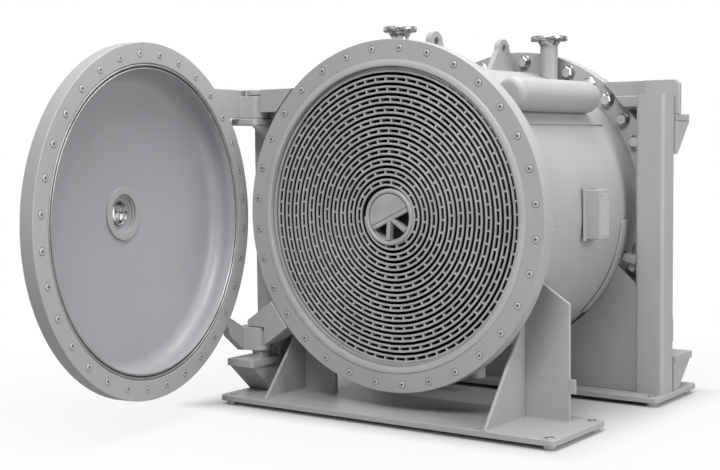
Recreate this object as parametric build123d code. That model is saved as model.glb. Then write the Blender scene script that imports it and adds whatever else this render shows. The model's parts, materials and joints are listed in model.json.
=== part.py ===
from build123d import *
import math
import os

# Spiral heat exchanger: a drum with a wound double channel, lying on two saddles,
# with a hinged cover at each end. The rear end is the front end turned half a turn
# about the upright line through the middle of the drum.
# Millimetres. The origin is at floor level, in the middle of the anchor holes.
# X runs across the drum, Y along its axis from front to rear, Z up.

# Drum
shell_radius = 522.0
flange_overhang = 78.0
flange_thickness = 55.0
face_to_face = 952.0
shell_wall = 12.0
raised_ring_width = 22.0
raised_ring_height = 3.0

# Wound channels and core
channel_turns = 11
open_channel_width = 7.0
spiral_recess = 14.0
core_radius = 97.0
core_wall = 9.0
core_cap_thickness = 12.0
core_cap_recess = 8.0
core_half_plate_height = 10.0
core_tilt = 25.0
core_rib_width = 11.0
core_rib_spread = 34.0

# Base plates and feet
plate_depth = 367.0
plate_thickness = 20.0
plate_lead = 100.0
plate_side_margin = 9.0
plate_corner = 18.0
foot_radius = 22.0
foot_height = 15.0
foot_inset = 34.0
anchor_hole_radius = 9.0
drum_clearance = 63.0

# Saddles
web_setback = 165.0
web_thickness = 15.0
web_post_gap = 3.0
hinge_web_inner = 352.0
web_shoulder = 276.0
web_top = 200.0
saddle_gusset_offset = 434.0
hinge_gusset_offset = 496.0
saddle_gusset_thickness = 12.0
saddle_gusset_length = 262.0
hinge_gusset_length = 230.0
saddle_gusset_rise = 327.0
hinge_gusset_rise = 275.0
band_width = 58.0
band_thickness = 8.0
band_top_angle = -4.0
band_low_angle = -46.0
band_stop_width = 34.0
band_stop_height = 30.0
band_stop_angle = -17.0

# Hinge posts
post_outset = 26.0
post_width = 108.0
post_depth = 100.0
post_wall = 8.0
post_corner = 14.0
post_top = 415.0
post_setback = 101.0
shelf_width = 124.0
upper_shelf_reach = 125.0
lower_shelf_reach = 163.0
shelf_thickness = 24.0
upper_shelf_level = 345.0
lower_shelf_height = 128.0
shelf_nose = 10.0
upper_wedge_drop = 145.0
lower_wedge_foot = 40.0
wedge_side_step = 6.0
thrust_block_width = 44.0
thrust_block_height = 28.0

# Hinges
hinge_inset = 5.0
hinge_reach = 71.0
pin_radius = 18.0
pin_clearance = 0.08
knuckle_radius = 38.0
knuckle_float = 2.0
arm_thickness = 30.0
arm_setback = 8.0
arm_root_outer = 18.0
upper_arm_height = 80.0
lower_arm_height = 86.0
lower_arm_rise = 62.0
bracket_thickness = 28.0
bracket_lug_thickness = 20.0
bracket_lug_half_width = 36.0
upper_tie_height = 82.0
lower_tie_height = 84.0
tie_leg_width = 58.0

# Covers
cover_gap = 5.0
cover_inset = 14.0
cover_flange_thickness = 50.0
cover_flange_width = 68.0
dish_wall = 12.0
dish_depth = 126.0
dish_knuckle = 50.0
front_open_angle = 81.0
cover_pad_radius = 89.0
cover_pad_thickness = 8.0
nozzle_radius = 70.0
nozzle_wall = 6.0
nozzle_reach = 72.0
nozzle_lift = 27.0
nozzle_flange_radius = 125.0
nozzle_flange_thickness = 24.0

# Connections on the drum
front_vent_radius = 30.0
front_vent_flange_radius = 58.0
rear_vent_radius = 33.0
rear_vent_flange_radius = 70.0
vent_wall = 5.0
vent_flange_thickness = 18.0
front_vent_rise = 124.0
front_vent_setback = 90.0
rear_vent_rise = 126.0
rear_vent_setback = 123.0
rear_vent_offset = 180.0
drain_radius = 34.0
drain_wall = 5.0
drain_reach = 118.0
drain_shift = 110.0
header_radius = 57.0
header_angle = 45.5
header_lift = 50.0
header_setback = 130.0
header_end_gap = 66.0
header_end_round = 26.0
header_pad_thickness = 6.0
header_pad_half_angle = 9.5

# Lifting lugs, plate holder and earthing tabs
lug_width = 204.0
lug_height = 122.0
lug_thickness = 22.0
lug_nose = 40.0
lug_hole_radius = 16.0
lug_hole_drop = 35.0
front_lug_setback = 305.0
rear_lug_setback = 167.0
holder_width = 78.0
holder_height = 170.0
holder_standoff = 56.0
holder_wall = 5.0
holder_setback = 475.0
tab_width = 24.0
tab_height = 48.0
tab_thickness = 6.0
tab_level = 118.0

# Shared clearances
seat_gap = 0.3
moving_clearance = 5.0

# Worked out from the sizes above
flange_radius = shell_radius + flange_overhang
bore_radius = shell_radius - shell_wall
plate_level = -flange_radius - drum_clearance
axis_height = foot_height + plate_thickness - plate_level
front_face = -face_to_face / 2
hinge_offset = flange_radius - hinge_inset
post_offset = hinge_offset + post_outset
lower_shelf_level = plate_level + lower_shelf_height
plate_width = 2 * (post_offset + post_width / 2 + plate_side_margin)
plate_front = front_face - plate_lead
anchor_x = plate_width / 2 - foot_inset
outer_anchor_y = plate_front + foot_inset
inner_anchor_y = plate_front + plate_depth - foot_inset
spiral_front = front_face + spiral_recess
spiral_pitch = (bore_radius - core_radius - 2 * seat_gap + open_channel_width) / (channel_turns + 1)
spiral_band = spiral_pitch - open_channel_width
cover_face = front_face - raised_ring_height - cover_gap
cover_back = cover_face - cover_flange_thickness
cover_radius = flange_radius - cover_inset
cover_bore = cover_radius - cover_flange_width
dish_floor = cover_face - dish_depth
post_front = front_face + post_setback
hinge_y = post_front - hinge_reach
front_vent_y = front_face + front_vent_setback
rear_vent_y = -front_face - rear_vent_setback
front_vent_height = shell_radius + front_vent_rise
rear_vent_height = shell_radius + rear_vent_rise
drain_drop = shell_radius + drain_reach
header_start = front_face + header_setback
header_length = -post_front - header_end_gap - header_start


def upright(y):
    """Plane across the drum at y: local x is X, local y is the height over the axis."""
    return Plane(origin=(0, y, axis_height), x_dir=(1, 0, 0), z_dir=(0, -1, 0))


def across(face, y_low, y_high):
    """Extrudes an outline drawn across the drum from y_low to y_high."""
    return extrude(upright(y_high) * face, amount=y_high - y_low)


def ring(outer, inner, y_low, y_high):
    return across(Circle(outer) - Circle(inner), y_low, y_high)


def drum(radius):
    """A long cylinder on the drum's axis, for trimming what meets the shell."""
    return across(Circle(radius), front_face - face_to_face, face_to_face - front_face)


def outline(*points):
    return make_face(Polyline(*points, close=True))


def side_outline(x, *points):
    """A face in the plane at x, drawn by (y, height over the axis) points."""
    plane = Plane(origin=(x, 0, axis_height), x_dir=(0, 1, 0), z_dir=(1, 0, 0))
    return plane * outline(*points)


def plan(face, level):
    return Pos(0, 0, axis_height + level) * face


def turned(shape):
    """The same piece at the rear end of the drum."""
    return shape.rotate(Axis.Z, 180)


def mirrored(shape):
    return mirror(shape, about=Plane.YZ)


def opened(shape):
    """Swings a piece of the front cover from shut to the angle it stands open at."""
    hinge_line = Axis((-hinge_offset, hinge_y, 0), (0, 0, 1))
    return shape.rotate(hinge_line, -front_open_angle)


def end_flange():
    body = ring(flange_radius, bore_radius, front_face, front_face + flange_thickness)
    raised = ring(bore_radius + raised_ring_width, bore_radius, front_face - raised_ring_height, front_face)
    return body + raised


def bore(x, y, radius, reach):
    """Upright round hole from the drum's axis out to a level over or under it."""
    return extrude(plan(Pos(x, y) * Circle(radius), 0), amount=reach)


def shell():
    """Drum wall, drilled under the two vents and over the drain."""
    low = front_face + flange_thickness
    wall = ring(shell_radius, bore_radius, low, -low)
    wall -= bore(0, front_vent_y, front_vent_radius - vent_wall, front_vent_height)
    wall -= bore(rear_vent_offset, rear_vent_y, rear_vent_radius - vent_wall, rear_vent_height)
    return wall - bore(0, drain_shift, drain_radius - drain_wall, -drain_drop)


def spiral_edge(first_radius):
    """One edge of the wound band: half circles about two centres, each half a pitch larger."""
    arcs = []
    for half_turn in range(2 * channel_turns):
        lower = half_turn % 2
        centre = spiral_pitch / 4 if lower else -spiral_pitch / 4
        radius = first_radius + half_turn * spiral_pitch / 2
        arcs.append(CenterArc((centre, 0), radius, 180 if lower else 0, 180))
    return arcs


def spiral_channels():
    inner_radius = core_radius + seat_gap + spiral_pitch / 4
    inner_edge = spiral_edge(inner_radius)
    outer_edge = spiral_edge(inner_radius + spiral_band)
    core_end = Line(inner_edge[0] @ 0, outer_edge[0] @ 0)
    shell_end = Line(inner_edge[-1] @ 1, outer_edge[-1] @ 1)
    band = make_face(Curve() + inner_edge + outer_edge + [core_end, shell_end])
    return across(band, spiral_front, -spiral_front)


def core_tube():
    return ring(core_radius, core_radius - core_wall, spiral_front, -spiral_front)


def core_cap():
    """Disc in the core's mouth: a raised half plate above, three windows between two ribs below."""
    radius = core_radius - core_wall
    low = spiral_front + core_cap_recess
    disc = Circle(radius)
    lower_half = Pos(0, -radius) * Rectangle(2 * radius, 2 * radius - core_wall)
    windows = Circle(radius - core_wall) & lower_half
    for side in (-1, 1):
        rib = Rectangle(core_rib_width, 4 * radius)
        windows -= Rot(0, 0, side * core_rib_spread) * rib
    half_plate = Circle(radius) & Pos(0, radius) * Rectangle(2 * radius, 2 * radius)
    cap = across(Rot(0, 0, core_tilt) * (disc - windows), low, low + core_cap_thickness)
    plate = across(Rot(0, 0, core_tilt) * half_plate, low - core_half_plate_height, low)
    return cap + plate


def base_plate():
    y_middle = plate_front + plate_depth / 2
    slab = Pos(0, y_middle) * RectangleRounded(plate_width, plate_depth, plate_corner)
    for x in (-anchor_x, anchor_x):
        for y in (outer_anchor_y, inner_anchor_y):
            slab -= Pos(x, y) * Circle(anchor_hole_radius)
    return extrude(plan(slab, plate_level - plate_thickness), amount=plate_thickness)


def base_feet():
    feet = []
    pad = Circle(foot_radius) - Circle(anchor_hole_radius)
    for x in (-anchor_x, anchor_x):
        for y in (outer_anchor_y, inner_anchor_y, -inner_anchor_y, -outer_anchor_y):
            feet.append(extrude(Pos(x, y) * pad, amount=foot_height))
    return feet


def saddle_web(inner, outer):
    """Upright plate between the base plate and the wear plate, on one side of the drum."""
    low = front_face + web_setback
    shoulder_x = math.sqrt(shell_radius ** 2 - web_top ** 2)
    face = outline(
        (inner, plate_level),
        (outer, plate_level),
        (outer, -web_shoulder),
        (shoulder_x, -web_top),
        (inner, -web_top),
    )
    return across(face, low, low + web_thickness) - drum(shell_radius + band_thickness)


def beside_post():
    return post_offset - post_width / 2 - web_post_gap


def front_saddle_webs():
    """One web outside the gusset on the free side and one that stops beside the hinge post."""
    free_inner = saddle_gusset_offset - saddle_gusset_thickness / 2
    free_side = saddle_web(free_inner, flange_radius)
    return [free_side, mirrored(saddle_web(hinge_web_inner, beside_post()))]


def rear_saddle_web():
    """One web across the whole width under the drum."""
    return turned(saddle_web(0, flange_radius) + mirrored(saddle_web(0, beside_post())))


def saddle_gusset(offset, length, rise):
    back = front_face + web_setback
    profile = side_outline(
        offset - saddle_gusset_thickness / 2,
        (back, plate_level),
        (back - length, plate_level),
        (back, plate_level + rise),
    )
    return extrude(profile, amount=saddle_gusset_thickness)


def saddle_gussets():
    """A tall gusset on the free side and a low one under the lower hinge tie."""
    free_side = saddle_gusset(saddle_gusset_offset, saddle_gusset_length, saddle_gusset_rise)
    hinge_side = saddle_gusset(hinge_gusset_offset, hinge_gusset_length, hinge_gusset_rise)
    return [free_side, mirrored(hinge_side)]


def saddle_bands():
    """Curved wear plates between the shell and the saddle webs, one on each side."""
    low = front_face + web_setback
    sweep = band_top_angle - band_low_angle
    outer = shell_radius + band_thickness
    arc_out = CenterArc((0, 0), outer, band_low_angle, sweep)
    arc_in = CenterArc((0, 0), shell_radius, band_low_angle, sweep)
    ends = [Line(arc_in @ 0, arc_out @ 0), Line(arc_in @ 1, arc_out @ 1)]
    band = across(make_face(Curve() + [arc_out, arc_in] + ends), low, low + band_width)
    return [band, mirrored(band)]


def band_stops():
    """Blocks that carry the holding-down rods of the wear plates."""
    low = front_face + web_setback + web_thickness
    inner = shell_radius + band_thickness
    middle = Pos(inner + band_stop_height / 2, 0) * Rectangle(band_stop_height, band_stop_width)
    block = across(Rot(0, 0, band_stop_angle) * middle, low, front_face + web_setback + band_width)
    block -= drum(inner)
    return [block, mirrored(block)]


def hinge_post():
    middle = Pos(-post_offset, post_front + post_depth / 2)
    height = post_top - plate_level
    outside = middle * RectangleRounded(post_width, post_depth, post_corner)
    tube = extrude(plan(outside, plate_level), amount=height)
    inner_width = post_width - 2 * post_wall
    inner_depth = post_depth - 2 * post_wall
    hollow = RectangleRounded(inner_width, inner_depth, post_corner - post_wall)
    return tube - extrude(plan(middle * hollow, plate_level), amount=height - post_wall)


def shelf_plate(level, reach):
    middle = Pos(-post_offset, post_front - reach / 2)
    face = middle * Rectangle(shelf_width, reach)
    slab = extrude(plan(face, level - shelf_thickness), amount=shelf_thickness)
    front_corners = slab.edges().filter_by(Axis.Z).group_by(Axis.Y)[0]
    return fillet(front_corners, shelf_nose)


def shelf_wedge(*points):
    width = shelf_width - 2 * wedge_side_step
    return extrude(side_outline(-post_offset - width / 2, *points), amount=width)


def upper_shelf():
    under = upper_shelf_level - shelf_thickness
    wedge = shelf_wedge(
        (post_front, under),
        (post_front - upper_shelf_reach + shelf_nose, under),
        (post_front, under - upper_wedge_drop),
    )
    return shelf_plate(upper_shelf_level, upper_shelf_reach) + wedge


def lower_shelf():
    under = lower_shelf_level - shelf_thickness
    wedge = shelf_wedge(
        (post_front, under),
        (post_front - lower_shelf_reach + shelf_nose, under),
        (post_front - lower_wedge_foot, plate_level),
        (post_front, plate_level),
    )
    return shelf_plate(lower_shelf_level, lower_shelf_reach) + wedge + thrust_block()


def thrust_block():
    """Square block round the lower pin, which carries the weight of the cover."""
    spot = Pos(-hinge_offset, hinge_y)
    face = spot * (Rectangle(thrust_block_width, thrust_block_width) - Circle(pin_radius))
    return extrude(plan(face, lower_shelf_level), amount=thrust_block_height)


def hinge_levels():
    """Lowest and highest level of each moving knuckle, upper hinge first."""
    upper_low = upper_shelf_level + knuckle_float
    lower_low = lower_shelf_level + thrust_block_height + knuckle_float
    return ((upper_low, upper_low + upper_arm_height), (lower_low, lower_low + lower_arm_height))


def pin_top(knuckle_top):
    return knuckle_top + knuckle_float + bracket_lug_thickness


def hinge_pins():
    pins = []
    for shelf_level, (low, high) in zip((upper_shelf_level, lower_shelf_level), hinge_levels()):
        spot = Pos(-hinge_offset, hinge_y) * Circle(pin_radius)
        pins.append(extrude(plan(spot, shelf_level), amount=pin_top(high) - shelf_level))
    return pins


def pin_lug(low):
    """Plate over a knuckle that holds the head of the hinge pin, reaching back to its tie."""
    tongue = Pos(-hinge_offset, (hinge_y + post_front) / 2)
    face = tongue * Rectangle(2 * bracket_lug_half_width, post_front - hinge_y)
    face += Pos(-hinge_offset, hinge_y) * Circle(bracket_lug_half_width)
    face -= Pos(-hinge_offset, hinge_y) * Circle(pin_radius)
    return extrude(plan(face, low), amount=bracket_lug_thickness)


def tie(face):
    """Flat bar against the front of the hinge post, trimmed to the shell."""
    return across(face, post_front - bracket_thickness, post_front) - drum(shell_radius)


def upper_hinge_bracket():
    """Level tie from the shell to the upper hinge, with a leg on the shelf."""
    low = hinge_levels()[0][1] + knuckle_float
    top = low + bracket_lug_thickness
    outer = -hinge_offset - bracket_lug_half_width
    face = outline(
        (outer, upper_shelf_level),
        (outer + tie_leg_width, upper_shelf_level),
        (outer + tie_leg_width, top - upper_tie_height),
        (0, top - upper_tie_height),
        (0, top),
        (outer, top),
    )
    return tie(face) + pin_lug(low)


def lower_hinge_bracket():
    """Sloping tie from the shell down to the lower hinge, with a leg on the shelf."""
    low = hinge_levels()[1][1] + knuckle_float
    top = low + bracket_lug_thickness
    outer = -hinge_offset - bracket_lug_half_width
    inner = outer + tie_leg_width
    slope = -top / hinge_offset
    rise = lower_tie_height * math.hypot(1, slope)
    face = outline(
        (outer, lower_shelf_level),
        (inner, lower_shelf_level),
        (inner, top - rise),
        (0, top - rise - inner * slope),
        (0, top - outer * slope),
        (outer, top),
    )
    return tie(face) + pin_lug(low)


def knuckle(low, high):
    face = Pos(-hinge_offset, hinge_y) * (Circle(knuckle_radius) - Circle(pin_radius + pin_clearance))
    return extrude(plan(face, low), amount=high - low)


def pin_bore():
    reach = upper_shelf_level - lower_shelf_level + flange_radius
    spot = Pos(-hinge_offset, hinge_y) * Circle(pin_radius + pin_clearance)
    return extrude(plan(spot, lower_shelf_level), amount=reach)


def arm_plate(face):
    """Arm in the plane of the shut cover's flange, trimmed to the flange's rim."""
    back = cover_face - arm_setback
    return across(face, back - arm_thickness, back) - drum(cover_radius)


def arm_root(low, high):
    """Block that carries the arm back from the cover's plane to the hinge line."""
    front = cover_face - arm_setback - arm_thickness
    width = arm_root_outer + knuckle_radius
    middle = Pos(-hinge_offset - arm_root_outer + width / 2, (front + hinge_y) / 2)
    block = extrude(plan(middle * Rectangle(width, hinge_y - front), low), amount=high - low)
    return block - pin_bore()


def upper_arm():
    low, high = hinge_levels()[0]
    outer = -hinge_offset - arm_root_outer
    top = pin_top(high)
    face = outline(
        (outer, low),
        (0, low),
        (0, top),
        (-hinge_offset, top),
        (-hinge_offset, high),
        (outer, high),
    )
    return arm_plate(face) + arm_root(low, high) + knuckle(low, high)


def lower_arm():
    low, high = hinge_levels()[1]
    outer = -hinge_offset - arm_root_outer
    rim_x = -math.sqrt(cover_radius ** 2 - (high + lower_arm_rise) ** 2)
    bend = -hinge_offset + bracket_lug_half_width + moving_clearance
    face = outline(
        (outer, low),
        (bend, low),
        (rim_x, low + lower_arm_rise),
        (rim_x + knuckle_radius, high + lower_arm_rise),
        (bend, high),
        (outer, high),
    )
    return arm_plate(face) + arm_root(low, high) + knuckle(low, high)


def cover_arms():
    return [upper_arm(), lower_arm()]


def cover_flange():
    return ring(cover_radius, cover_bore, cover_back, cover_face)


def spun(face):
    """Revolves a face drawn by radius and y about the drum's axis."""
    return revolve(plan(face, 0), Axis((0, 0, axis_height), (0, 1, 0)))


def dish_arcs(offset):
    """Crown and knuckle of the dished head, moved out from its inside face by an offset."""
    knuckle_x = cover_bore - dish_wall - dish_knuckle
    sag = cover_back - dish_floor - dish_knuckle
    reach = (knuckle_x ** 2 + sag ** 2) / (2 * sag)
    crown = reach + dish_knuckle + offset
    crown_y = dish_floor - offset + crown
    corner = dish_knuckle + offset
    tilt = math.asin(knuckle_x / reach)
    turn = (math.pi / 2 - tilt) / 2
    seam = (crown * math.sin(tilt), crown_y - crown * math.cos(tilt))
    crown_middle = (crown * math.sin(tilt / 2), crown_y - crown * math.cos(tilt / 2))
    knuckle_middle = (
        knuckle_x + corner * math.sin(tilt + turn),
        cover_back - corner * math.cos(tilt + turn),
    )
    crown_arc = ThreePointArc((0, dish_floor - offset), crown_middle, seam)
    return [crown_arc, ThreePointArc(seam, knuckle_middle, (knuckle_x + corner, cover_back))]


def cover_dish():
    """Dished head with a crown, a knuckle and a short skirt in the cover's flange."""
    skirt_top = cover_face - cover_flange_thickness / 2
    inner = dish_arcs(0)
    outer = dish_arcs(dish_wall)
    rim = [(cover_bore - dish_wall, skirt_top), (cover_bore, skirt_top)]
    edges = inner + outer
    edges.append(Line(inner[0] @ 0, outer[0] @ 0))
    edges.append(Polyline(inner[1] @ 1, *rim, outer[1] @ 1))
    head = spun(make_face(Curve() + edges))
    seat = Pos(0, nozzle_lift) * Circle(cover_pad_radius)
    hole = Pos(0, nozzle_lift) * Circle(nozzle_radius)
    return head - across(seat, dish_floor, cover_face) - across(hole, cover_back - dish_depth, cover_face)


def cover_nozzle():
    """Connection a little over the cover's middle, with its pad inside and its flange outside."""
    end = dish_floor - dish_wall - nozzle_reach
    inside = nozzle_radius - nozzle_wall
    face = outline(
        (inside, dish_floor + cover_pad_thickness),
        (cover_pad_radius, dish_floor + cover_pad_thickness),
        (cover_pad_radius, dish_floor),
        (nozzle_radius, dish_floor),
        (nozzle_radius, end + nozzle_flange_thickness),
        (nozzle_flange_radius, end + nozzle_flange_thickness),
        (nozzle_flange_radius, end),
        (inside, end),
    )
    return Pos(0, 0, nozzle_lift) * spun(face)


def stub(x, y, radius, top, rim):
    """Upright pipe on the top of the shell with a flat flange."""
    spot = Pos(x, y)
    pipe = extrude(plan(spot * Circle(radius), 0), amount=top)
    pipe += extrude(plan(spot * Circle(rim), top - vent_flange_thickness), amount=vent_flange_thickness)
    return pipe - bore(x, y, radius - vent_wall, top) - drum(shell_radius)


def vent_nozzles():
    front = stub(0, front_vent_y, front_vent_radius, front_vent_height, front_vent_flange_radius)
    rear_rim = rear_vent_flange_radius
    return [front, stub(rear_vent_offset, rear_vent_y, rear_vent_radius, rear_vent_height, rear_rim)]


def drain_nozzle():
    spot = Pos(0, drain_shift)
    pipe = spot * (Circle(drain_radius) - Circle(drain_radius - drain_wall))
    return extrude(plan(pipe, -drain_drop), amount=drain_drop) - drum(shell_radius)


def header_pipe():
    """Capped header along the shell, standing on its pad."""
    angle = math.radians(header_angle)
    distance = shell_radius + header_lift
    spot = Pos(distance * math.cos(angle), distance * math.sin(angle))
    body = across(spot * Circle(header_radius), header_start, header_start + header_length)
    far_edge = body.edges().filter_by(GeomType.CIRCLE).sort_by(Axis.Y)[-1]
    return fillet(far_edge, header_end_round) - drum(shell_radius + header_pad_thickness)


def header_pad():
    low = header_angle - header_pad_half_angle
    arc_out = CenterArc((0, 0), shell_radius + header_pad_thickness, low, 2 * header_pad_half_angle)
    arc_in = CenterArc((0, 0), shell_radius, low, 2 * header_pad_half_angle)
    ends = [Line(arc_in @ 0, arc_out @ 0), Line(arc_in @ 1, arc_out @ 1)]
    pad = make_face(Curve() + [arc_out, arc_in] + ends)
    return across(pad, header_start, header_start + header_length)


def lifting_lugs():
    lugs = []
    for y in (front_face + front_lug_setback, -front_face - rear_lug_setback):
        top = shell_radius + lug_height
        half = lug_width / 2
        face = outline(
            (y - half, 0),
            (y + half, 0),
            (y + half, shell_radius),
            (y + lug_nose, top - lug_nose),
            (y - lug_nose, top - lug_nose),
            (y - half, shell_radius),
        )
        face += Pos(y, top - lug_nose) * Circle(lug_nose)
        face -= Pos(y, top - lug_hole_drop) * Circle(lug_hole_radius)
        plane = Plane(origin=(-lug_thickness / 2, 0, axis_height), x_dir=(0, 1, 0), z_dir=(1, 0, 0))
        lugs.append(extrude(plane * face, amount=lug_thickness) - drum(shell_radius))
    return lugs


def plate_holder():
    """Bare holder for a data plate: a channel that stands off the shell's right side."""
    middle = front_face + holder_setback
    x_low = shell_radius - holder_standoff
    x_high = shell_radius + holder_standoff
    centre = Pos((x_low + x_high) / 2, middle)
    outer = Rectangle(x_high - x_low, holder_width)
    inner = Pos(-holder_wall, 0) * Rectangle(x_high - x_low, holder_width - 2 * holder_wall)
    box = extrude(plan(centre * (outer - inner), -holder_height / 2), amount=holder_height)
    return box - drum(shell_radius)


def earthing_tabs():
    low = front_face + web_setback
    level = plate_level + tab_level
    face = Pos(flange_radius + tab_width / 2, level) * Rectangle(tab_width, tab_height)
    tab = across(face, low, low + tab_thickness)
    return [tab, turned(tab)]


def both_ends(piece):
    return [piece, turned(piece)]


def whole(pieces):
    """One node of several pieces that do not touch."""
    return Compound(children=list(pieces))


front_gussets = saddle_gussets()
front_bands = saddle_bands()
front_stops = band_stops()
front_pins = hinge_pins()
upper_bracket = upper_hinge_bracket()
lower_bracket = lower_hinge_bracket()
arms = cover_arms()

nodes = {
    "front_base_plate": base_plate(),
    "rear_base_plate": turned(base_plate()),
    "base_feet": whole(base_feet()),
    "front_saddle_webs": whole(front_saddle_webs()),
    "rear_saddle_webs": rear_saddle_web(),
    "front_saddle_gussets": whole(front_gussets),
    "rear_saddle_gussets": whole([turned(gusset) for gusset in front_gussets]),
    "front_saddle_bands": whole(front_bands),
    "rear_saddle_bands": whole([turned(band) for band in front_bands]),
    "saddle_band_stops": whole(front_stops + [turned(stop) for stop in front_stops]),
    "shell": shell(),
    "front_flange": end_flange(),
    "rear_flange": turned(end_flange()),
    "spiral_channels": spiral_channels(),
    "core_tube": core_tube(),
    "core_caps": whole(both_ends(core_cap())),
    "vent_nozzles": whole(vent_nozzles()),
    "drain_nozzle": drain_nozzle(),
    "header_pipes": whole(both_ends(header_pipe())),
    "header_pads": whole(both_ends(header_pad())),
    "lifting_lugs": whole(lifting_lugs()),
    "plate_holder": plate_holder(),
    "earthing_tabs": whole(earthing_tabs()),
    "left_hinge_post": hinge_post(),
    "right_hinge_post": turned(hinge_post()),
    "left_upper_shelf": upper_shelf(),
    "right_upper_shelf": turned(upper_shelf()),
    "left_lower_shelf": lower_shelf(),
    "right_lower_shelf": turned(lower_shelf()),
    "left_upper_bracket": upper_bracket,
    "right_upper_bracket": turned(upper_bracket),
    "left_lower_bracket": lower_bracket,
    "right_lower_bracket": turned(lower_bracket),
    "hinge_pins": whole(front_pins + [turned(pin) for pin in front_pins]),
    "front_cover_flange": opened(cover_flange()),
    "front_cover_dish": opened(cover_dish()),
    "front_cover_nozzle": opened(cover_nozzle()),
    "front_cover_arms": whole([opened(arm) for arm in arms]),
    "rear_cover_flange": turned(cover_flange()),
    "rear_cover_dish": turned(cover_dish()),
    "rear_cover_nozzle": turned(cover_nozzle()),
    "rear_cover_arms": whole([turned(arm) for arm in arms]),
}

os.makedirs("parts", exist_ok=True)
for name, shape in nodes.items():
    export_step(shape, f"parts/{name}.step")
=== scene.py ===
import json
from math import cos, hypot, pi, radians, sin, sqrt

import bpy
from mathutils import Matrix, Vector

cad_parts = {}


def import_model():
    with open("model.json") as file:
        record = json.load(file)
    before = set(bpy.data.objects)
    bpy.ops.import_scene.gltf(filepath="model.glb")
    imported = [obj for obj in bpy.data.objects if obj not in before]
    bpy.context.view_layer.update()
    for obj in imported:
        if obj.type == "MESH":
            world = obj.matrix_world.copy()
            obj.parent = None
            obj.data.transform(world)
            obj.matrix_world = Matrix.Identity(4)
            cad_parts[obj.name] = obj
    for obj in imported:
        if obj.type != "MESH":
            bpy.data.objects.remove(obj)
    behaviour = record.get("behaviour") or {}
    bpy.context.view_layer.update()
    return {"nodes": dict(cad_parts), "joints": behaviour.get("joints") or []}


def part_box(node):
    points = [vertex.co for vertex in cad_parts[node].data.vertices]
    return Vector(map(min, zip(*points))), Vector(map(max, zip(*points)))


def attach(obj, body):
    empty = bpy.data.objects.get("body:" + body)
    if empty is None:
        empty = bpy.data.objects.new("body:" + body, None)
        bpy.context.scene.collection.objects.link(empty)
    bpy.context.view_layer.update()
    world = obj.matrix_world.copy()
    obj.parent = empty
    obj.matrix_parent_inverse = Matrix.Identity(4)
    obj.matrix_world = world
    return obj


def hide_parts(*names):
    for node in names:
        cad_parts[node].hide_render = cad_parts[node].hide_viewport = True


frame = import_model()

# Spiral heat exchanger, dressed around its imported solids. Metres.
# The local frame of an end: x across, y up from the drum's axis, z outwards along the drum.


def half_width(node):
    low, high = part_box(node)
    return (high.x - low.x) / 2


# Places that the frame gives
nodes = frame["nodes"]
hinges = {joint["name"]: joint for joint in frame["joints"]}
flange_low, flange_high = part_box("front_flange")
cover_low, cover_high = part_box("rear_cover_flange")
nozzle_low, nozzle_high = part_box("rear_cover_nozzle")
plate_low, plate_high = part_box("front_base_plate")
tie_low, tie_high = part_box("left_upper_bracket")
shelf_low, shelf_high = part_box("left_upper_shelf")
plate_top = plate_high.z
axis_height = (flange_low.z + flange_high.z) / 2
flange_radius = half_width("front_flange")
shell_radius = half_width("shell")
core_radius = half_width("core_tube")
cover_radius = half_width("rear_cover_flange")
ring_face = -flange_low.y
flange_back = -flange_high.y
spiral_face = -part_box("spiral_channels")[0].y
cover_face = cover_low.y
cover_back = cover_high.y
nozzle_lift = (nozzle_low.z + nozzle_high.z) / 2 - axis_height
hinge_x, hinge_y = hinges["front_cover_hinge"]["pos_m"][:2]
post_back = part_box("left_hinge_post")[0].y
tie_top = tie_high.z - axis_height
shelf_top = shelf_high.z - axis_height

# Values that several pieces share
skin = 0.0003
pole_radius = 0.0005
plate_bevel = 0.002
sharp_degrees = 35
corner_limit = 0.2
least_area = 1e-9

# Wound channels
shell_wall = 0.012
bore_radius = shell_radius - shell_wall
raised_ring = 0.003
winding_turns = 11
winding_steps = 32
channel_gap = 0.007
seat_gap = 0.0003
strip_width = 0.0076
strip_round = 0.0016
strip_round_share = 0.3
strip_depth = 0.08
# Depth of a strip's wall that keeps its lit colour; deeper down the wall is painted black as shade
lit_wall = 0.0045
slot_width = 0.0098
slot_pitch = 0.0426
bridge_length = 0.007
bridge_depth = 0.03
bridge_top_share = 0.7
shadow_gap = 0.0005
rim_recess = 0.004
rim_seat = 0.0135
rim_seat_drop = 0.002
rim_seat_wall = 0.02
pitch = (bore_radius - core_radius - 2 * seat_gap + channel_gap) / (winding_turns + 1)

# Hub in the core's mouth; levels are a foot, a top and the top's chamfer
hub_tilt = radians(25)
hub_gap = 0.001
hub_rim_inner = 0.083
hub_rim_round = 0.004
hub_rim_lift = 0.002
hub_step = 0.008
hub_depth = 0.045
hub_plate_radius = 0.0785
hub_plate_share = 0.985
hub_plate_lift = 0.002
hub_plate_levels = (-0.012, 0.004, 0.002)
hub_bar_height = 0.013
hub_bar_overlap = 0.0007
hub_bar_levels = (-0.014, 0.003, 0.001)
hub_rib_width = 0.014
hub_rib_spread = radians(30)
hub_rib_start_share = 0.7
hub_rib_levels = (-0.022, 0.0022, 0.0015)

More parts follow.
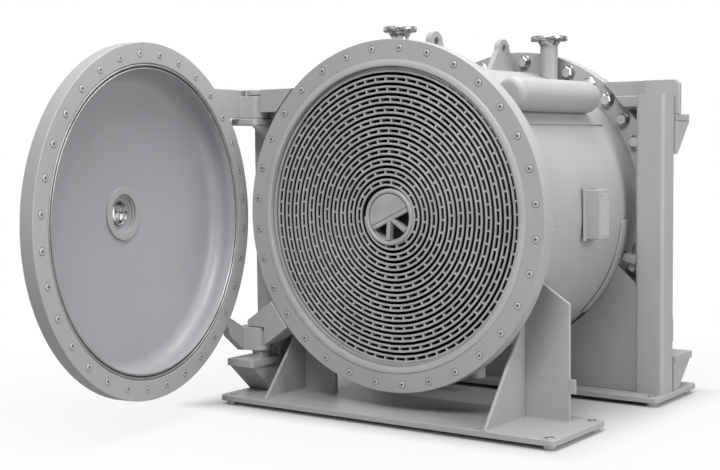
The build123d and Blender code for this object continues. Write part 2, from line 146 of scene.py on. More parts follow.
# Fasteners; a pair of shares is of the radius and of the height
screw_count = 32
screw_radius = 0.0112
screw_height = 0.0018
screw_ring_shares = ((1.2, 0), (1.18, 0.15), (1, 0.15))
screw_head_shares = ((1, 0), (1, 0.5), (0.9, 0.85), (0.72, 1), (0.42, 1))
screw_socket_shares = ((0.48, 1), (0.36, 1), (0.32, 0.3))
flange_screw_share = 0.951
cover_screw_share = 0.938
bolt_count = 36
bolt_start = radians(6)
bolt_circle = 0.561
bolt_corner = 0.0225
bolt_height = 0.02
bolt_shares = ((1, 0), (1, 0.84), (0.88, 1))
head_turn = 0.4
nut_turn = 0.55
washer_radius = 0.0265
washer_height = 0.004
washer_soft_share = 0.3
washer_hole_share = 0.4
stud_share = 0.6
stud_tip_share = 0.8
stud_levels = (-0.002, 0.008, 0.011)

# Seal ring of the covers, with depths from the cover's face
cover_rim = 0.068
cover_bore = cover_radius - cover_rim
seal_step = 0.006
bead_radius = 0.0042
bead_inset = 0.0052
bead_gap = 0.0004
groove_gap = 0.0006
groove_depth = 0.01
seal_lip = 0.0205
seal_lip_root = 0.0075
seal_lip_round = 0.0035
seal_lip_depth = 0.0055
seal_wall_depth = 0.028
dish_seat_inset = 0.013
dish_seat_depth = 0.031

# Sleeve in the nozzles; the seat's steps lie in from the bore and in front of the seat
nozzle_bore = 0.064
seat_depth = 0.066
seat_steps = ((0, 0.017), (0.003, 0.016), (0.003, 0.006), (0.008, 0.005), (0.008, 0))
sleeve_radius = 0.037
sleeve_length = 0.04
sleeve_rim = 0.005
sleeve_ring_round = 0.0025
sleeve_ring_lift = 0.004
sleeve_step = 0.005
sleeve_step_depths = (0.012, 0.014)
sleeve_end_lip = 0.004

# Hinge plates seen beside the flanges
lug_radius = 0.036
lug_height = 0.02
lug_overlap = 0.001
cheek_reach = 0.045
cheek_start = hinge_x + cheek_reach
cheek_lift = 0.022
cheek_face = 0.48
cheek_bevel = 0.0015
rim_clearance = 0.004
clear_radius = flange_radius + rim_clearance
rim_step = 0.001
lower_tie_slope = 0.667
lower_tie_top = -0.397
lower_tie_rise = 0.101
lower_tie_inner = 0.022
beam_end_inset = 0.002
collar_sweep = (281, 330)
collar_inner = 0.0015
collar_outer = 0.0085
collar_bevel = 0.001
end_plate_reach = 0.69
end_plate_side = 0.04
end_plate_top = 0.47
end_plate_cut = 0.016
end_plate_face = 0.397
stub_start = 0.027
stub_low = 0.375
stub_high = 0.415
shelf_thickness = 0.024
shelf_cut = 0.012
shelf_bevel = 0.0025
gusset_width = 0.016
gusset_inset = 0.002
gusset_toe = 0.012
gusset_nose = 0.004
front_gusset_drop = 0.085
rear_gusset_drop = 0.12

# Lip round the drum's mouth; its edges lie out from a radius and down from its top
lip_radius = 0.532
lip_height = 0.0008
lip_gap = 0.0004
lip_wall = 0.006
lip_inner_edge = ((lip_gap, 0.002), (0.0012, 0.0005), (0.003, 0))
lip_outer_edge = ((-0.003, 0), (-0.0005, 0.0012))
lip_foot = 0.0008

# Header
header_radius = 0.057
header_round = 0.026
header_length = 0.58

# Wear bands' fittings; a size is a reach, a half height, a half width and a chamfer
band_height = 0.008
band_face = shell_radius + band_height
band_sink = 0.001
band_middle = 0.34
clamp_angle = radians(-19)
clamp_size = (0.054, 0.013, 0.026, plate_bevel)
clamp_shift = 0.002
tab_size = (0.03, 0.004, 0.029, 0.001)
clip_angle = radians(-44.5)
clip_size = (0.018, 0.011, 0.02, 0.003)
tongue_radius = 0.014
tongue_reach = 0.041
tongue_drop = 0.03
tongue_root = 0.006
tongue_half_width = 0.01
rivet_angle = radians(-38)
rivet_shift = 0.015
rivet_radius = 0.0065
rivet_sink = 0.001
rivet_top_degrees = 80

# Drain
drain_cup_radius = 0.034
drain_cup_height = 0.052
drain_cup_foot = 0.003
drain_cup_side = 0.006
drain_cup_round = 0.004
drain_cup_shares = (0.62, 0.66, 0.92)
drain_floor = 0.014
drain_ring_shares = (0.66, 0.86, 0.88, 0.64)
drain_ring_height = 0.0035
drain_neck_radius = 0.013
drain_collar_share = 1.5
drain_collar_levels = (-0.001, 0.006, 0.009)

# Vents; a collar's places lie out from its bore and down from the flange
vent_collar_bores = {"front": 0.0304, "rear": 0.0334}
vent_flange = 0.018
vent_rim = 0.0175
vent_collar = ((0.009, 0), (0.008, 0.006), (0.001, 0.014), (0, 0.018))
vent_hole_count = 4
vent_hole_radius = 0.0075
vent_hole_share = 0.8
vent_bright_height = 0.0225

# Base plates and their welds; a washer's rim lies outside the hole and above the plate
plate_corner = 0.018
anchor_inset = 0.034
anchor_hole = 0.009
anchor_rim = ((0.0075, 0), (0.0075, 0.0018), (0.0065, 0.0025), (0.001, 0.0025), (0, 0.0015), (0, 0))
weld_radius = 0.0035
weld_step = 0.006
weld_ripple = 0.1
weld_angles = range(-30, 121, 30)
foot_tolerance = 0.0005

# Bare plates of the holder; levels are a foot, a top and a chamfer
backing_front = 0.022
backing_rear = 0.004
backing_margin = 0.006
backing_levels = (0.012, 0.015, 0.0008)
tag_side = 0.008
tag_end = 0.012
tag_levels = (-0.0005, 0.0012, 0.0004)
tag_rivet_side = 0.014
tag_rivet_end = 0.018
tag_rivet = ((0.003, 0.001), (0.0026, 0.0026), (0.0006, 0.0032))

# Finishes and softened edges
noise_range = (0.3, 0.7)
cloud_detail = 4.0
grain_detail = 3.0
bump_height = 0.0006
merge_distance = 0.00002
usual_bevel = 0.0025
fine_bevel = 0.001
cover_bevel = 0.003
nozzle_bevel = 0.0015
vent_bevel = 0.005
soft_segments = 2
soft_edge_degrees = 38
normal_weight = 60

# Stage; a fade runs between two shares of the base's half size and adds its gain
floor_half = 30.0
floor_colour = (0.5, 0.5, 0.505, 1)
floor_roughness = 0.55
floor_fades = ((0.9, 1.25, 0.86), (1.25, 3.5, 0.14))
ambient_colour = (0.95, 0.97, 1.0, 1)
ambient_strength = 0.08
light_target = (0, -0.3, axis_height)
softboxes = (
    ("key_softbox", (1.2, -3.7, 4.3), (2.6, 2.0), 225),
    ("top_softbox", (0.5, 0.4, 4.6), (3.0, 3.0), 180),
    ("right_softbox", (5.0, -0.5, 2.4), (2.3, 2.3), 140),
)
camera_place = (2.4977, -4.0672, 0.94536)
camera_heading = radians(36.0156)
camera_dip = radians(4.0066)
camera_roll = radians(-0.6147)
focal_pixels = 1292.28
image_width = 720
sensor_width = 36

# Frames in which pieces are made
as_drawn = Matrix.Identity(4)
turned = Matrix.Rotation(pi, 4, "Z")
axis_level = Matrix.Translation((0, 0, axis_height))
front_end = axis_level @ Matrix.Rotation(pi / 2, 4, "X")
rear_end = turned @ front_end
side_view = axis_level @ Matrix(((0, 0, -1, 0), (-1, 0, 0, 0), (0, 1, 0, 0), (0, 0, 0, 1)))
right_view = Matrix(((0, 0, 1, 0), (1, 0, 0, 0), (0, 1, 0, 0), (0, 0, 0, 1)))


def swing(joint):
    """Rotation that takes the shut front cover to where it stands open at rest."""
    hinge = Vector(joint["pos_m"])
    angle = -radians(joint["range_deg"][1])
    return Matrix.Translation(hinge) @ Matrix.Rotation(angle, 4, "Z") @ Matrix.Translation(-hinge)


swung = swing(hinges["front_cover_hinge"])
ends = (("front", front_end), ("rear", rear_end))
covers = (("front", swung @ front_end, "front_cover"), ("rear", rear_end, "rear_cover"))


# Node helpers for materials

def new_material(name):
    material = bpy.data.materials.new(name)
    material.use_nodes = True
    return material, material.node_tree


def add_node(tree, kind, values=None):
    """New node with some of its inputs set."""
    node = tree.nodes.new(f"ShaderNode{kind}")
    for name, value in (values or {}).items():
        node.inputs[name].default_value = value
    return node


def noise(tree, scale, detail):
    """Noise over object space, so that it has one scale on every piece."""
    coords = add_node(tree, "TexCoord")
    texture = add_node(tree, "TexNoise", {"Scale": scale, "Detail": detail})
    tree.links.new(coords.outputs["Object"], texture.inputs["Vector"])
    return texture.outputs["Fac"]


def spread(tree, source, low, high):
    """Maps noise to a range of numbers."""
    values = {"From Min": noise_range[0], "From Max": noise_range[1], "To Min": low, "To Max": high}
    ramp = add_node(tree, "MapRange", values)
    tree.links.new(source, ramp.inputs["Value"])
    return ramp.outputs["Result"]


def tint(tree, source, dark, light):
    """Maps noise to a range between two colours."""
    ramp = add_node(tree, "ValToRGB")
    for element, position, colour in zip(ramp.color_ramp.elements, noise_range, (dark, light)):
        element.position = position
        element.color = (*colour, 1)
    tree.links.new(source, ramp.inputs["Fac"])
    return ramp.outputs["Color"]


def combine(tree, operation, *sources):
    """Number worked out from other nodes' numbers or from plain ones."""
    node = add_node(tree, "Math")
    node.operation = operation
    for socket, source in zip(node.inputs, sources):
        if isinstance(source, float):
            socket.default_value = source
        else:
            tree.links.new(source, socket)
    return node.outputs["Value"]


def mix_into(tree, share, first, second, output):
    """Sends a mix of two shaders to a tree's output."""
    mix = add_node(tree, "MixShader")
    tree.links.new(share, mix.inputs["Fac"])
    tree.links.new(first, mix.inputs[1])
    tree.links.new(second, mix.inputs[2])
    tree.links.new(mix.outputs["Shader"], tree.nodes[output].inputs["Surface"])


def surface(name, dark, light, rough, metallic, cloud, grain, bump):
    """One finish: clouded colour, uneven gloss and a fine bump."""
    material, tree = new_material(name)
    shader = tree.nodes["Principled BSDF"]
    shader.inputs["Metallic"].default_value = metallic
    clouds = noise(tree, cloud, cloud_detail)
    fine = noise(tree, grain, grain_detail)
    relief = add_node(tree, "Bump", {"Strength": bump, "Distance": bump_height})
    tree.links.new(fine, relief.inputs["Height"])
    tree.links.new(tint(tree, clouds, dark, light), shader.inputs["Base Color"])
    tree.links.new(spread(tree, fine, *rough), shader.inputs["Roughness"])
    tree.links.new(relief.outputs["Normal"], shader.inputs["Normal"])
    return material


# Finishes: dark and light colour, range of roughness, metal, scales of clouds and grain, bump
paint = surface(
    "satin_grey_paint", (0.315, 0.319, 0.325), (0.345, 0.349, 0.355), (0.42, 0.54), 0.0, 3.0, 420.0, 0.1)
cover_paint = surface(
    "cover_grey_paint", (0.3, 0.304, 0.31), (0.33, 0.334, 0.34), (0.4, 0.5), 0.0, 2.5, 420.0, 0.08)
dish_paint = surface(
    "dish_grey_paint", (0.29, 0.295, 0.305), (0.315, 0.32, 0.33), (0.34, 0.44), 0.0, 2.0, 300.0, 0.06)
strip_metal = surface(
    "wound_strip_steel", (0.33, 0.332, 0.34), (0.4, 0.402, 0.41), (0.36, 0.5), 0.15, 14.0, 260.0, 0.16)
bright_steel = surface(
    "bright_screw_steel", (0.52, 0.52, 0.53), (0.66, 0.66, 0.67), (0.22, 0.36), 0.9, 60.0, 500.0, 0.08)
screw_steel = surface(
    "dull_screw_steel", (0.4, 0.4, 0.41), (0.52, 0.52, 0.53), (0.28, 0.42), 0.35, 60.0, 500.0, 0.08)
bead_steel = surface(
    "turned_bead_steel", (0.26, 0.26, 0.265), (0.33, 0.33, 0.335), (0.3, 0.42), 0.6, 30.0, 400.0, 0.08)
plain_steel = surface(
    "plain_steel", (0.3, 0.3, 0.305), (0.38, 0.38, 0.385), (0.3, 0.45), 0.8, 30.0, 300.0, 0.12)
# Near-black painted shade for slot walls, channel floors, the hub's floor, the drain's well and bolt and
# anchor holes
painted_shade_black = surface(
    "groove_shadow", (0.012, 0.012, 0.013), (0.022, 0.022, 0.024), (0.55, 0.75), 0.0, 40.0, 300.0, 0.2)
# Dark grey painted shade for the ring round each screw head and for its socket
painted_recess_shade = surface(
    "recess_dark_grey", (0.085, 0.087, 0.09), (0.12, 0.122, 0.126), (0.45, 0.6), 0.0, 25.0, 300.0, 0.15)
# Chrome whose clouds, from near black to light, are painted reflections
chrome_painted_reflections = surface(
    "chromed_steel", (0.09, 0.09, 0.095), (0.62, 0.62, 0.63), (0.08, 0.18), 1.0, 48.0, 350.0, 0.04)
lip_paint = surface(
    "machined_lip", (0.38, 0.383, 0.39), (0.43, 0.433, 0.44), (0.3, 0.4), 0.1, 5.0, 420.0, 0.06)
weld_metal = surface(
    "painted_weld", (0.27, 0.274, 0.28), (0.34, 0.344, 0.35), (0.45, 0.6), 0.0, 120.0, 260.0, 0.5)
gasket = surface(
    "gasket_rubber", (0.035, 0.035, 0.037), (0.06, 0.06, 0.063), (0.55, 0.72), 0.0, 90.0, 600.0, 0.45)
# Screw steel, then the dark grey painted shade of the ring and of the socket
screw_steel_and_painted_shade = (screw_steel, painted_recess_shade, painted_recess_shade)


# Mesh helpers

def add_object(name, data):
    made = bpy.data.objects.new(name, data)
    bpy.context.scene.collection.objects.link(made)
    return made


class Shape:
    """Points and faces of one piece in a local frame, each face with the number of its material."""

    def __init__(self):
        self.points = []
        self.faces = []
        self.marks = []

    def add_face(self, corners, mark):
        self.faces.append(corners)
        self.marks.append(mark)

    def add_placed(self, part, place):
        """Adds the points and faces of another shape, moved to its place."""
        first = len(self.points)
        self.points.extend(tuple(place @ Vector(point)) for point in part.points)
        for face, mark in zip(part.faces, part.marks):
            self.add_face(tuple(first + corner for corner in face), mark)

    def grid(self, rows, mark=0, around=False, along=False):
        """Quads between rows of points; around closes each row, along joins the last to the first."""
        first = len(self.points)
        width = len(rows[0])
        for row in rows:
            self.points.extend(row)
        row_count = len(rows) if along else len(rows) - 1
        column_count = width if around else width - 1
        for i in range(row_count):
            low = first + i * width
            high = first + (i + 1) % len(rows) * width
            for j in range(column_count):
                k = (j + 1) % width
                corners = (low + j, low + k, high + k, high + j)
                if self.has_area(corners):
                    self.add_face(corners, mark)

    def has_area(self, corners):
        a, b, c, d = (Vector(self.points[corner]) for corner in corners)
        return (c - a).cross(d - b).length > least_area

    def cap(self, row, mark=0):
        first = len(self.points)
        self.points.extend(row)
        self.add_face(tuple(range(first, first + len(row))), mark)

    def piece(self, name, place, materials, slot, body="vessel"):
        mesh = bpy.data.meshes.new(name)
        mesh.from_pydata([place @ Vector(point) for point in self.points], [], self.faces)
        for material in materials:
            mesh.materials.append(material)
        mesh.polygons.foreach_set("material_index", self.marks)
        mesh.polygons.foreach_set("use_smooth", [True] * len(self.faces))
        mesh.validate()
        mesh.set_sharp_from_angle(angle=radians(sharp_degrees))
        piece = add_object(name, mesh)
        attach(piece, body)
        return piece

    def painted(self, name, place):
        return self.piece(name, place, [paint], "grey_paint")


def on_circle(radius, count, start, centre=(0, 0)):
    spots = []
    for i in range(count):
        angle = start + 2 * pi * i / count
        spots.append((centre[0] + radius * cos(angle), centre[1] + radius * sin(angle)))
    return spots


def circle(radius, z, steps, centre=(0, 0), start=0.0):
    return [(x, y, z) for x, y in on_circle(radius, steps, start, centre)]


def lathe(shape, profile, steps, mark=0, centre=(0, 0)):
    """Turns (radius, z) points about the local z axis."""
    rows = [circle(radius, z, steps, centre) for radius, z in profile]
    shape.grid(rows, mark, around=True)


def arc_points(centre, radius, start, end, count):
    """Points of a round stretch in a profile, angles in degrees."""
    points = []
    for i in range(count):
        angle = radians(start + (end - start) * i / (count - 1))
        points.append((centre[0] + radius * cos(angle), centre[1] + radius * sin(angle)))
    return points


def by_shares(shares, radius, foot, height):
    """Profile from shares of a radius and of a height."""
    return [(radius * across, foot + height * up) for across, up in shares]


def inset(points, amount):
    """Moves the corners of an outline, listed anticlockwise, inwards."""
    result = []
    count = len(points)
    for i in range(count):
        before = (Vector(points[i]) - Vector(points[i - 1])).normalized()
        after = (Vector(points[(i + 1) % count]) - Vector(points[i])).normalized()
        normal = Vector((-before.y - after.y, before.x + after.x))
        scale = amount / max(1 + before.dot(after), corner_limit)
        result.append((points[i][0] + normal.x * scale, points[i][1] + normal.y * scale))
    return result


def slab(shape, points, low, high, bevel):
    """Raised plate of an outline with a rounded top edge and an open foot."""
    rows = []
    for amount, z in ((0, low), (0, high - bevel), (bevel / 3, high - bevel / 3), (bevel, high)):
        rows.append([(x, y, z) for x, y in inset(points, amount)])
    shape.grid(rows, around=True)
    shape.cap(rows[-1])


def block(shape, points, low, high, bevel, mark=0):
    """Solid plate of an outline, chamfered on both sides."""
    rows = []
    for amount, z in ((bevel, low), (0, low + bevel), (0, high - bevel), (bevel, high)):
        rows.append([(x, y, z) for x, y in inset(points, amount)])
    shape.grid(rows, mark, around=True)
    shape.cap(rows[-1], mark)
    shape.cap(list(reversed(rows[0])), mark)


def rectangle(x_low, x_high, y_low, y_high):
    return [(x_low, y_low), (x_high, y_low), (x_high, y_high), (x_low, y_high)]


def beside_rim(height):
    """Place across, on the hinge side, that is clear of the flange's rim at this height."""
    return -sqrt(clear_radius ** 2 - height ** 2)


# Wound channels

def winding_point(half_turn, share, offset, z):
    """Point on the wound band: half circles about two centres, each half a pitch larger."""
    lower = half_turn % 2
    centre = pitch / 4 if lower else -pitch / 4
    radius = core_radius + seat_gap + pitch / 4 + half_turn * pitch / 2 + offset
    angle = pi * (lower + share)
    x = centre + radius * cos(angle)
    y = radius * sin(angle)
    reach = hypot(x, y)
    kept = min(max(reach, core_radius), bore_radius - rim_recess)
    return x * kept / reach, y * kept / reach, z


def strip_sections(start):
    """Offsets and depths of one strip: its lit edge with rounded corners, then its two walls, painted
    black as shade below lit_wall.
    """
    end = start + strip_width
    soft = strip_round
    softer = strip_round * strip_round_share
    edge = [(start, -lit_wall), (start, -soft), (start + softer, -softer), (start + soft, 0)]
    edge += [(end - soft, 0), (end - softer, -softer), (end, -soft), (end, -lit_wall)]
    walls = [((side, -strip_depth), (side, -lit_wall)) for side in (start, end)]
    return (edge, 0), (walls[0], 1), (walls[1], 1)


def add_strips(shape, half_turns, start):
    for section, mark in strip_sections(start):
        rows = []
        for half_turn in half_turns:
            for step in range(winding_steps):
                share = step / winding_steps
                rows.append([winding_point(half_turn, share, o, spiral_face + z) for o, z in section])
        shape.grid(rows, mark)


def add_bridge(shape, half_turn, share, half_share):
    """Short web across the slot between the two strips of the band."""
    sides = (strip_width - strip_round, strip_width + slot_width + strip_round)
    top = spiral_face - strip_round
    foot = spiral_face - bridge_depth
    rise = [(1, foot), (1, top - strip_round), (bridge_top_share, top)]
    rows = []
    for place, z in [(-place, z) for place, z in rise] + rise[::-1]:
        at = share + place * half_share
        rows.append([winding_point(half_turn, at, side, z) for side in sides])
    shape.grid(rows)


def add_bridges(shape, half_turns):
    travelled = 0.0
    for half_turn in half_turns:
        radius = core_radius + half_turn * pitch / 2 + pitch / 2
        length = pi * radius
        place = -travelled % slot_pitch
        while place < length:
            add_bridge(shape, half_turn, place / length, bridge_length / 2 / length)
            place += slot_pitch
        travelled += length


def channel_floor(name, place):
    """Floor and wall behind the strips, painted black as shade, and the seat of their rim."""
    backing = Shape()
    floor_level = spiral_face - strip_depth + strip_round
    wall = bore_radius - shadow_gap
    lathe(backing, ((core_radius, floor_level), (bore_radius, floor_level)), 96)
    lathe(backing, ((wall, floor_level), (wall, spiral_face)), 96)
    backing.piece(f"{name}_channel_shadow", place, [painted_shade_black], "plain_steel")
    recess = Shape()
    depth = spiral_face - rim_seat_drop
    inner = bore_radius - rim_seat
    lathe(recess, ((inner, depth - rim_seat_wall), (inner, depth), (bore_radius, depth)), 128)
    recess.piece(f"{name}_rim_seat", place, [strip_metal], "stainless")


def wound_channels():
    strips = Shape()
    half_turns = range(-1, 2 * winding_turns + 1)
    for name, place in ends:
        end = Shape()
        add_strips(end, half_turns, 0)
        add_strips(end, half_turns, strip_width + slot_width)
        strips.add_placed(end, place)
        bridges = Shape()
        add_bridges(bridges, half_turns)
        bridges.piece(f"{name}_slot_bridges", place, [strip_metal], "stainless")
        channel_floor(name, place)
    band = strips.piece("wound_strips", as_drawn, [strip_metal, painted_shade_black], "stainless")
    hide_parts("spiral_channels")


# Hub

def hub_half_plate():
    """Outline of the raised half disc, flat side down."""
    half_disc = arc_points((0, 0), hub_plate_radius, 0, 180, 25)
    return [(x, hub_plate_lift + y * hub_plate_share) for x, y in half_disc]


def bar_outline(width, low, high, angle):
    turn = Matrix.Rotation(angle, 2)
    return [tuple(turn @ Vector(corner)) for corner in rectangle(-width / 2, width / 2, low, high)]


def hub(name, place):
    """Cover of the core's mouth: rim, raised half plate, bar, two ribs, and windows over a floor painted
    black as shade.
    """
    shape = Shape()
    outer = core_radius - hub_gap
    well = hub_plate_radius - hub_gap
    rim = [(outer, -hub_depth)]
    rim += arc_points((outer - hub_rim_round, hub_rim_lift), hub_rim_round, 0, 90, 6)
    rim += arc_points((hub_rim_inner + hub_rim_round, hub_rim_lift), hub_rim_round, 90, 180, 6)
    rim += [(hub_rim_inner, -hub_step), (well, -hub_step)]
    lathe(shape, rim, 72)
    lathe(shape, ((well, -hub_step), (well, -hub_depth)), 72)
    # Floor under the windows, painted black as shade
    lathe(shape, ((outer, -hub_depth), (pole_radius, -hub_depth)), 48, 1)
    slab(shape, hub_half_plate(), *hub_plate_levels)
    chord = 2 * hub_plate_radius * hub_plate_share
    slab(shape, bar_outline(chord, -hub_bar_height, hub_bar_overlap, 0), *hub_bar_levels)
    rib_start = -hub_bar_height * hub_rib_start_share
    for side in (-1, 1):
        rib = bar_outline(hub_rib_width, -hub_plate_radius, rib_start, side * hub_rib_spread)
        slab(shape, rib, *hub_rib_levels)
    at = place @ Matrix.Translation((0, 0, spiral_face)) @ Matrix.Rotation(hub_tilt, 4, "Z")
    return shape.piece(f"{name}_hub", at, [strip_metal, painted_shade_black], "stainless")


def hubs():
    pieces = [hub(name, place) for name, place in ends]
    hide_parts("core_caps")


# Fasteners

def add_socket_screw(shape, spot, z, way):
    """Socket screw: a thin ring of painted shade round it, a rounded head and a small hexagon socket
    painted dark as shade.
    """
    height = screw_height * way
    lathe(shape, by_shares(screw_ring_shares, screw_radius, z, height), 20, 1, spot)
    lathe(shape, by_shares(screw_head_shares, screw_radius, z, height), 20, 0, spot)
    socket = by_shares(screw_socket_shares, screw_radius, z, height)
    lathe(shape, socket, 6, 2, spot)
    shape.cap(circle(*socket[-1], 6, spot), 2)


def screw_ring(name, place, body, radius, face, way):
    shape = Shape()
    for spot in on_circle(radius, screw_count, pi / screw_count):
        add_socket_screw(shape, spot, face, way)
    shape.piece(f"{name}_screws", place, screw_steel_and_painted_shade, "plain_steel", body)


def screws():
    """Screws on the front flange and on both covers' inner faces."""
    radius = flange_radius * flange_screw_share
    screw_ring("front_flange", front_end, "vessel", radius, ring_face - raised_ring, 1)
    for name, place, body in covers:
        screw_ring(f"{name}_cover", place, body, cover_radius * cover_screw_share, cover_face, -1)


def add_bolt(shape, spot, z, way, turn):
    """Washer, and a hexagon head or nut with a chamfered top."""
    radius = washer_radius
    top = z + way * washer_height
    soft = washer_height * washer_soft_share
    washer = [(radius, z), (radius, top - way * soft)]
    washer += [(radius - soft, top), (radius * washer_hole_share, top)]
    lathe(shape, washer, 28, 0, spot)
    profile = by_shares(bolt_shares, bolt_corner, top, way * bolt_height)
    rows = [circle(corner, level, 6, spot, turn) for corner, level in profile]
    shape.grid(rows, around=True)
    shape.cap(rows[-1], 1)


def add_stud(shape, spot, end):
    """Stud's end with a chamfered tip."""
    radius = bolt_corner * stud_share
    foot, side, top = (end + level for level in stud_levels)
    tip = (radius * stud_tip_share, top)
    lathe(shape, ((radius, foot), (radius, side), tip), 16, 0, spot)
    shape.cap(circle(*tip, 16, spot), 1)


def rear_bolts():
    """Bolt heads behind the rear flange, and nuts with stud ends on the rear cover."""
    heads = Shape()
    nuts = Shape()
    for i, spot in enumerate(on_circle(bolt_circle, bolt_count, pi - bolt_start)):
        add_bolt(heads, spot, flange_back, -1, head_turn * i)
        add_bolt(nuts, spot, cover_back, 1, nut_turn * i)
        add_stud(nuts, spot, cover_back + washer_height + bolt_height)
    heads.piece("rear_flange_bolts", rear_end, [chrome_painted_reflections, screw_steel], "plain_steel")
    nuts.piece("rear_cover_nuts", rear_end, [chrome_painted_reflections, screw_steel], "plain_steel", "rear_cover")


# Covers

def seal_profile():
    """Step, bead, groove, lip and wall inside the cover's flange, from its bore inwards."""
    z = cover_face
    bead = cover_bore - bead_inset
    lip = cover_bore - seal_lip
    step = [(cover_bore, z + seal_step), (bead + bead_radius + bead_gap, z + seal_step)]
    round_bead = arc_points((bead, z + bead_radius + bead_gap), bead_radius, 0, -180, 9)
    groove = [(bead - bead_radius - groove_gap, z + groove_depth), (lip + seal_lip_root, z + groove_depth)]
    round_lip = arc_points((lip + seal_lip_round, z + seal_lip_depth), seal_lip_round, 0, -180, 9)
    wall = [(lip, z + seal_wall_depth), (cover_bore - dish_seat_inset, z + dish_seat_depth)]
    return step, round_bead, groove, round_lip, wall


def seal_rings():
    step, round_bead, groove, round_lip, wall = seal_profile()
    for name, place, body in covers:
        shape = Shape()
        lathe(shape, step, 128, 1)
        lathe(shape, round_bead, 128, 0)
        lathe(shape, [round_bead[-1]] + groove, 128, 1)
        lathe(shape, [groove[-1]] + round_lip, 128, 0)
        lathe(shape, [round_lip[-1]] + wall, 128, 2)
        shape.piece(f"{name}_cover_seal", place, [bead_steel, gasket, dish_paint], "stainless", body)


def nozzle_sleeves():
    """Stepped seat with a chromed sleeve inside each cover's nozzle."""
    bore = nozzle_bore - skin
    seat = nozzle_high.y - seat_depth
    rim = sleeve_radius + sleeve_rim
    inner = sleeve_radius - sleeve_step
    wall_end, step_end = (seat + depth for depth in sleeve_step_depths)
    end = seat + sleeve_length
    steps = [(bore - across, seat - depth) for across, depth in seat_steps] + [(rim, seat)]
    ring_centre = (sleeve_radius + sleeve_ring_round, seat - sleeve_ring_lift)
    ring = [(rim, seat)] + arc_points(ring_centre, sleeve_ring_round, 0, -180, 9)
    back = [(inner, end), (rim, end), (rim, end - sleeve_end_lip), (bore, end - sleeve_end_lip)]
    for name, place, body in covers:
        shape = Shape()
        lathe(shape, steps, 64)
        lathe(shape, ring, 64, 1)
        lathe(shape, [ring[-1], (sleeve_radius, wall_end), (inner, step_end)], 64, 1)
        lathe(shape, [(inner, step_end), (inner, end)], 64, 1)
        lathe(shape, back, 64)
        at = place @ Matrix.Translation((0, nozzle_lift, 0))
        shape.piece(f"{name}_nozzle_sleeve", at, [dish_paint, chrome_painted_reflections], "stainless", body)


# Hinge plates

def upper_cheek(shape, top):
    """Thick end of an upper tie, between the knuckle's swing and the flange's rim."""
    low = tie_low.z - axis_height + cheek_lift
    points = [(cheek_start, low), (beside_rim(low), low)]
    points += [(beside_rim(top), top), (cheek_start, top)]
    block(shape, points, end_plate_face, cheek_face, cheek_bevel)


def tie_edge(start, level):
    """Height of a lower tie's sloping edge at a place across."""
    return lambda x: level + (x - start) * lower_tie_slope


def last_outside(edge):
    """Last step along an edge, from the cheek's start, that stays clear of the flange's rim."""
    x = cheek_start
    while hypot(x + rim_step, edge(x + rim_step)) > clear_radius:
        x += rim_step
    return x


def lower_cheek(shape):
    """Thick end of a lower tie, cut back along the flange's rim, and its end over the knuckle."""
    top = tie_edge(hinge_x - lug_radius, lower_tie_top)
    foot = tie_edge(hinge_x + lower_tie_inner, lower_tie_top - lower_tie_rise)
    foot_end = last_outside(foot)
    top_end = last_outside(top)
    points = [(cheek_start, foot(cheek_start)), (foot_end, foot(foot_end))]
    points += [(top_end, top(top_end)), (cheek_start, top(cheek_start))]
    block(shape, points, end_plate_face, cheek_face, cheek_bevel)
    left = hinge_x - lug_radius + beam_end_inset
    level = lower_tie_top - lug_height
    end = [(left, level), (cheek_start, level), (cheek_start, top(cheek_start)), (left, top(left))]
    block(shape, end, end_plate_face, cheek_face, cheek_bevel)


def tie_cheeks():
    for name, place, height in (("front", front_end, tie_top), ("rear", rear_end, end_plate_top)):
        shape = Shape()
        upper_cheek(shape, height)
        lower_cheek(shape)
        shape.painted(f"{name}_tie_ends", place)


def rear_upper_bracket():
    """Plate behind the right post with a cut corner, a short stub to the flange and the pin's lug."""
    shape = Shape()
    left, right = -end_plate_reach, hinge_x + end_plate_side
    plate = [(left, shelf_top), (right, shelf_top), (right, end_plate_top)]
    plate += [(left + end_plate_cut, end_plate_top), (left, end_plate_top - end_plate_cut)]
    block(shape, plate, -post_back, end_plate_face, plate_bevel)
    start = hinge_x + stub_start
    stub = [(start, stub_low), (beside_rim(stub_low), stub_low)]
    stub += [(beside_rim(stub_high), stub_high), (start, stub_high)]
    block(shape, stub, -post_back, end_plate_face, plate_bevel)
    piece = shape.painted("right_upper_plates", rear_end)
    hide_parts("right_upper_bracket")
    lug = Shape()
    back = lug_overlap - end_plate_face
    face = arc_points((hinge_x, hinge_y), lug_radius, 180, 360, 17)
    face += [(hinge_x + lug_radius, back), (hinge_x - lug_radius, back)]
    block(lug, face, tie_top - lug_height, tie_top, plate_bevel)
    lug.painted("right_upper_lug", turned @ axis_level)


def arm_collars():
    """Collar on each upper arm, round the fixed lug and clear of its tongue in every pose."""
    spot = (hinge_x, hinge_y)
    face = arc_points(spot, lug_radius + collar_outer, *collar_sweep, 13)
    face += arc_points(spot, lug_radius + collar_inner, *reversed(collar_sweep), 13)
    for name, turn, body in (("front", swung, "front_cover"), ("rear", turned, "rear_cover")):
        shape = Shape()
        block(shape, face, tie_top - lug_height, tie_top, collar_bevel)
        shape.piece(f"{name}_arm_collar", turn @ axis_level, [paint], "grey_paint", body)


